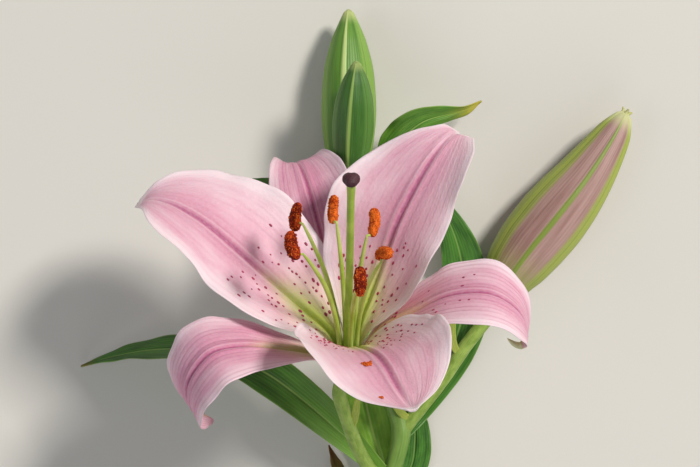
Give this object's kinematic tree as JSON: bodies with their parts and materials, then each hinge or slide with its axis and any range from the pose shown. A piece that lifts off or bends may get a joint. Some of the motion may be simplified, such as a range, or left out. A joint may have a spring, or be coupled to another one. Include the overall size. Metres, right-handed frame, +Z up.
{
  "type": "cut lily",
  "caption": "Cut pink lily laid on its back: an open spotted flower with stamens and pistil, closed buds, leaves and a bare cut stem.",
  "frame": {"origin": "under the middle of the whole plant's bounding box, on the surface it lies on", "axes": "+Y up the stem from the cut end towards the buds, +X to the right as the flower faces up, +Z up from the surface"},
  "size_m": [0.2714, 0.4202, 0.1779],
  "materials": {
    "petal": "soft satin, pale pink with a deeper midrib and dark spots",
    "sepal": "soft satin, pink with darker parallel veins",
    "stamen_green": "smooth, waxy yellow-green",
    "pollen": "powdery rust orange",
    "stigma": "moist dark purple",
    "stem_green": "waxy mid green",
    "leaf_green": "glossy dark green",
    "bract_green": "satin yellow-green",
    "bud_pink": "satin, dull pink with green edges",
    "bud_green": "satin green"
  },
  "bodies": {
    "root": {"anther_1": "pollen", "anther_2": "pollen", "anther_3": "pollen", "anther_4": "pollen", "anther_5": "pollen", "anther_6": "pollen", "bract_flower": "bract_green", "bract_node": "bract_green", "bract_pink_bud": "bract_green", "bud_large": "bud_green", "bud_pink": "bud_pink", "bud_small": "bud_green", "filament_1": "stamen_green", "filament_2": "stamen_green", "filament_3": "stamen_green", "filament_4": "stamen_green", "filament_5": "stamen_green", "filament_6": "stamen_green", "leaf_hidden": "leaf_green", "leaf_left": "leaf_green", "leaf_lower_1": "leaf_green", "leaf_lower_2": "leaf_green", "leaf_lower_3": "leaf_green", "leaf_right": "leaf_green", "leaf_shaded": "leaf_green", "leaf_sunlit": "leaf_green", "leaf_twisted": "leaf_green", "leaf_withered": "leaf_green", "pedicel_flower": "stem_green", "pedicel_pink_bud": "stem_green", "pedicel_small_bud": "stem_green", "petal_front": "petal", "petal_left": "petal", "petal_right": "petal", "pistil": "stamen_green", "receptacle": "stem_green", "sepal_back": "sepal", "sepal_left": "sepal", "sepal_right": "sepal", "stem": "stem_green", "stigma": "stigma"}
  },
  "joints": []
}
